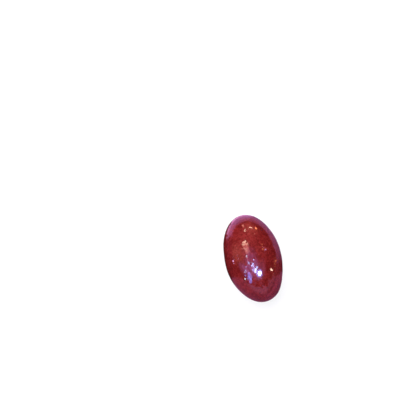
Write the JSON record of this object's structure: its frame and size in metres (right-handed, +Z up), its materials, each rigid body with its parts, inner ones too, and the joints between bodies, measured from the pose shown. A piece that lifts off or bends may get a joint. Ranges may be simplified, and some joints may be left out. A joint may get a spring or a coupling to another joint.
{
  "type": "chocolate-covered peanut",
  "caption": "Plump oval sweet, a nut wholly covered in glazed dark red-brown chocolate, lying on its side on a small flat spot.",
  "frame": {"origin": "on the ground, under the middle of the sweet's box", "axes": "+X along the sweet towards its slightly slimmer end, +Z up as it lies"},
  "size_m": [0.02, 0.0118, 0.0111],
  "materials": {
    "glazed_chocolate": "deep red-brown chocolate under a clear, mirror-glossy, slightly orange-peel glaze"
  },
  "bodies": {
    "root": {"chocolate_peanut": "glazed_chocolate"}
  },
  "joints": []
}
